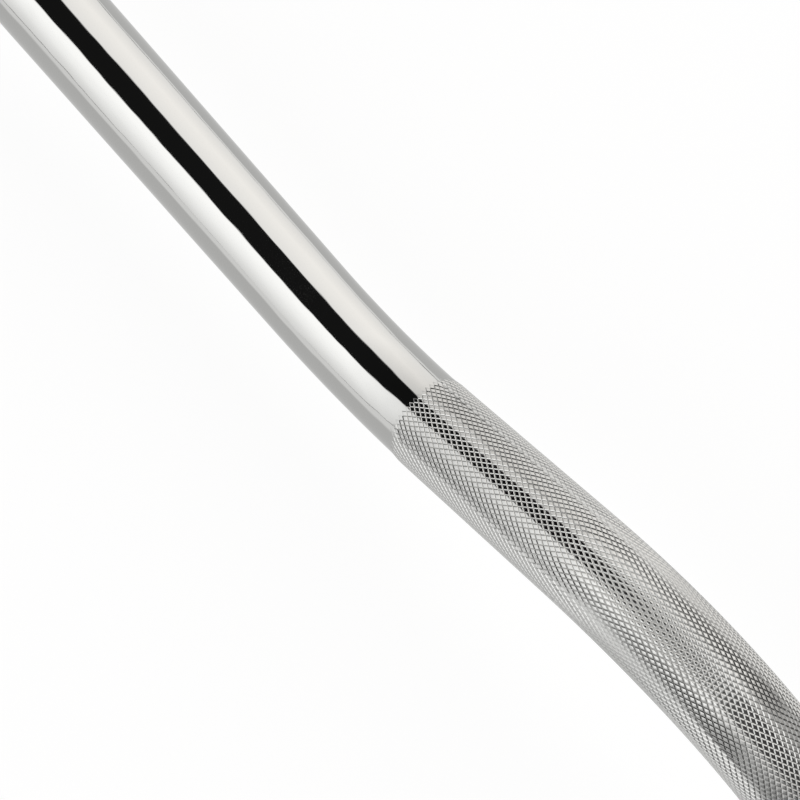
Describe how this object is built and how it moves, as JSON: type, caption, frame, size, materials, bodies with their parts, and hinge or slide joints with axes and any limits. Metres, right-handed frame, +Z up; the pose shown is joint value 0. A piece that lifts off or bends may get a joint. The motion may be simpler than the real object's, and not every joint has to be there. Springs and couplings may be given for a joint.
{
  "type": "ez curl bar",
  "caption": "Bent weightlifting bar with angled knurled grips, a smooth centre and rotating plate sleeves with collars, for curls and arm work.",
  "frame": {"origin": "on the floor under the middle of the bar, level with the bottom of the two collars", "axes": "+X along the bar towards its right sleeve, +Z up through the two grip humps, +Y across the bend plane away from the person lifting"},
  "size_m": [1.1938, 0.078, 0.1002],
  "materials": {
    "shaft_chrome": "polished hard chrome plate, smooth at the centre and the ends, diamond knurled on the angled grips",
    "sleeve_chrome": "polished hard chrome plate on turned steel",
    "bronze": "oil-filled sintered bronze, dull",
    "washer_steel": "ground steel",
    "spring_steel": "black phosphated spring steel",
    "cap_steel": "turned and plated steel disc"
  },
  "bodies": {
    "shaft": {"shaft": "shaft_chrome", "left_shaft_ring": "spring_steel", "right_shaft_ring": "spring_steel"},
    "left_sleeve": {"left_sleeve": "sleeve_chrome", "left_collar": "sleeve_chrome", "left_inner_bushing": "bronze", "left_outer_bushing": "bronze", "left_inner_thrust_washer": "washer_steel", "left_outer_thrust_washer": "washer_steel", "left_thrust_ring": "spring_steel", "left_end_cap": "cap_steel", "left_cap_ring": "spring_steel"},
    "right_sleeve": {"right_sleeve": "sleeve_chrome", "right_collar": "sleeve_chrome", "right_inner_bushing": "bronze", "right_outer_bushing": "bronze", "right_inner_thrust_washer": "washer_steel", "right_outer_thrust_washer": "washer_steel", "right_thrust_ring": "spring_steel", "right_end_cap": "cap_steel", "right_cap_ring": "spring_steel"}
  },
  "joints": [
    {"name": "left_sleeve_spin", "type": "hinge", "parent": "shaft", "child": "left_sleeve", "pos_m": [-0.49691, 0, 0.038], "axis": [1, 0, 0], "continuous": true},
    {"name": "right_sleeve_spin", "type": "hinge", "parent": "shaft", "child": "right_sleeve", "pos_m": [0.49691, 0, 0.038], "axis": [1, 0, 0], "continuous": true}
  ]
}
